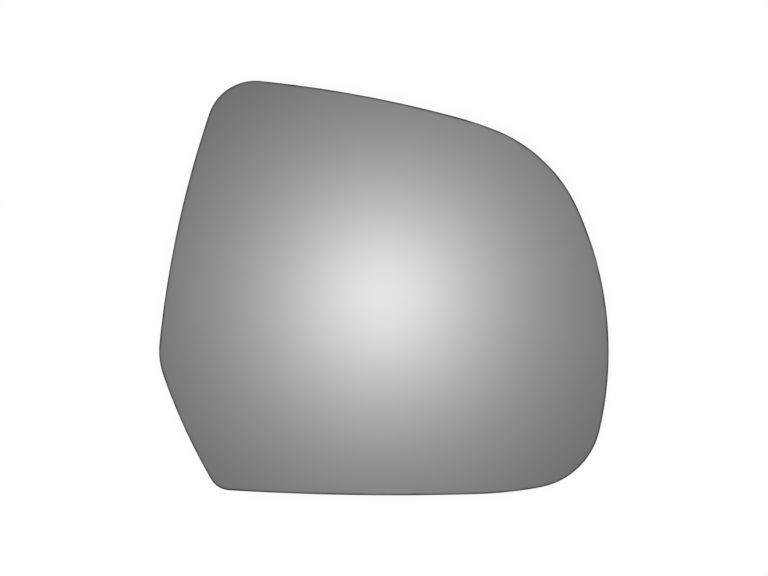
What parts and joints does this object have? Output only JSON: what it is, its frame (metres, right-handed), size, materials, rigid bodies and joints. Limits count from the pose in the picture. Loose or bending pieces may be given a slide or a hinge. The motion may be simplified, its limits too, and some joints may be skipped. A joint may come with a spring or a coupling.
{
  "type": "car door mirror glass",
  "caption": "Thin domed glass for a car door mirror: one slanting rounded outline, a convex reflecting face and a seamed edge, bonded to a carrier by its hollow back.",
  "frame": {"origin": "centre of the outline's bounding box, on the plane that the hollow back rests on", "axes": "+Z out of the reflecting face, +X along the width and +Y up the height as the driver sees the glass"},
  "size_m": [0.18, 0.166, 0.0058],
  "materials": {
    "mirror_glass": "polished float glass, bent to a dome and metal-coated behind, with a ground edge"
  },
  "bodies": {
    "root": {"mirror_glass": "mirror_glass"}
  },
  "joints": []
}
